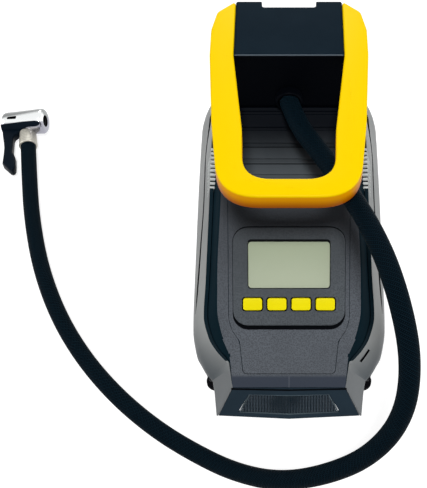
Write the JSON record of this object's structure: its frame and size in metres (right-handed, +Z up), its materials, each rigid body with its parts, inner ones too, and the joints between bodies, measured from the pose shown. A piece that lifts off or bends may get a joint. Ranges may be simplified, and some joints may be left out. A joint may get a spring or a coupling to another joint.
{
  "type": "portable tire inflator",
  "caption": "Portable tire inflator: sloped housing with a display, push buttons and a lamp, a loop handle, a battery dock and a braided hose with a lever chuck.",
  "frame": {"origin": "on the floor, under the middle of the housing", "axes": "+Z up, +Y from the display towards the tower and the battery dock, +X to the user's right"},
  "size_m": [0.3316, 0.361, 0.2057],
  "materials": {
    "yellow_plastic": "satin",
    "grey_shell": "satin",
    "dark_core": "satin",
    "tower_plastic": "satin",
    "deck_plastic": "satin",
    "panel_plastic": "fine grain",
    "bezel_plastic": "satin",
    "base_plastic": "fine grain",
    "lcd_glass": "clear",
    "lcd_body": "matte",
    "lens_clear": "ribbed",
    "reflector": "polished",
    "led": "gloss",
    "foot_rubber": "matte",
    "board_green": "satin",
    "spacer_nylon": "satin",
    "switch_body": "satin",
    "steel": "ground",
    "gear_nylon": "satin",
    "cast_alloy": "cast",
    "magnet": "matte",
    "fan_plastic": "satin",
    "screw_steel": "blackened",
    "blade_brass": "plated",
    "silicone_tube": "matte",
    "hose_braid": "braided",
    "ferrule_nickel": "nickel plated",
    "chrome": "polished",
    "lever_black": "gloss",
    "seal_rubber": "matte"
  },
  "bodies": {
    "housing": {"air_hose": "hose_braid", "air_tube": "silicone_tube", "base_shell": "base_plastic", "battery_rails": "tower_plastic", "board_spacers": "spacer_nylon", "button_switches": "switch_body", "chuck_barrel": "chrome", "chuck_saddle": "lever_black", "chuck_seal": "seal_rubber", "control_board": "board_green", "crank_bearing": "steel", "cylinder": "cast_alloy", "cylinder_head": "cast_alloy", "display_bezel": "bezel_plastic", "display_window": "lcd_glass", "front_plate": "panel_plastic", "gear_plate": "cast_alloy", "handle": "yellow_plastic", "head_bolts": "screw_steel", "hose_ferrule": "ferrule_nickel", "hose_socket": "tower_plastic", "housing_screws": "screw_steel", "lamp_bezel": "dark_core", "lamp_leds": "led", "lamp_lens": "lens_clear", "lamp_reflector": "reflector", "lcd_module": "lcd_body", "left_core_half": "dark_core", "left_side_shell": "grey_shell", "lever_pin": "steel", "motor_can": "steel", "motor_magnets": "magnet", "power_board": "board_green", "power_board_spacers": "spacer_nylon", "pressure_sensor": "switch_body", "rear_cover": "base_plastic", "ribbed_deck": "deck_plastic", "right_core_half": "dark_core", "right_side_shell": "grey_shell", "rubber_feet": "foot_rubber", "terminal_blades": "blade_brass", "terminal_block": "tower_plastic", "tower_housing": "tower_plastic"},
    "power_button": {"button_power": "yellow_plastic"},
    "minus_button": {"button_minus": "yellow_plastic"},
    "plus_button": {"button_plus": "yellow_plastic"},
    "mode_button": {"button_mode": "yellow_plastic"},
    "rotor": {"motor_armature": "steel", "motor_pinion": "steel", "cooling_fan": "fan_plastic"},
    "crank": {"crank_gear": "gear_nylon", "crank_shaft": "steel"},
    "piston_group": {"piston": "cast_alloy", "connecting_rod": "cast_alloy", "crank_pin": "steel", "wrist_pin": "steel"},
    "lever": {"chuck_lever": "lever_black"}
  },
  "joints": [
    {"name": "power_press", "type": "slide", "parent": "housing", "child": "power_button", "axis": [0, 0.6639, -0.7478], "range_m": [0, 0.0008], "stiffness_N_per_m": 600},
    {"name": "minus_press", "type": "slide", "parent": "housing", "child": "minus_button", "axis": [0, 0.6639, -0.7478], "range_m": [0, 0.0008], "stiffness_N_per_m": 600},
    {"name": "plus_press", "type": "slide", "parent": "housing", "child": "plus_button", "axis": [0, 0.6639, -0.7478], "range_m": [0, 0.0008], "stiffness_N_per_m": 600},
    {"name": "mode_press", "type": "slide", "parent": "housing", "child": "mode_button", "axis": [0, 0.6639, -0.7478], "range_m": [0, 0.0008], "stiffness_N_per_m": 600},
    {"name": "rotor_spin", "type": "hinge", "parent": "housing", "child": "rotor", "pos_m": [0, 0.075, 0.06749], "axis": [0, 1, 0], "continuous": true},
    {"name": "crank_spin", "type": "hinge", "parent": "housing", "child": "crank", "pos_m": [-0.02, 0.036, 0.045], "axis": [0, 1, 0], "continuous": true},
    {"name": "piston_slide", "type": "slide", "parent": "housing", "child": "piston_group", "axis": [1, 0, 0], "range_m": [0, 0.012]},
    {"name": "lever_pivot", "type": "hinge", "parent": "housing", "child": "lever", "pos_m": [-0.24818, 0.14488, 0.0092], "axis": [0, 0, 1], "range_deg": [-90, 0]}
  ],
  "couplings": [
    {"joint": "crank_spin", "follows": "rotor_spin", "ratio": -0.2}
  ]
}
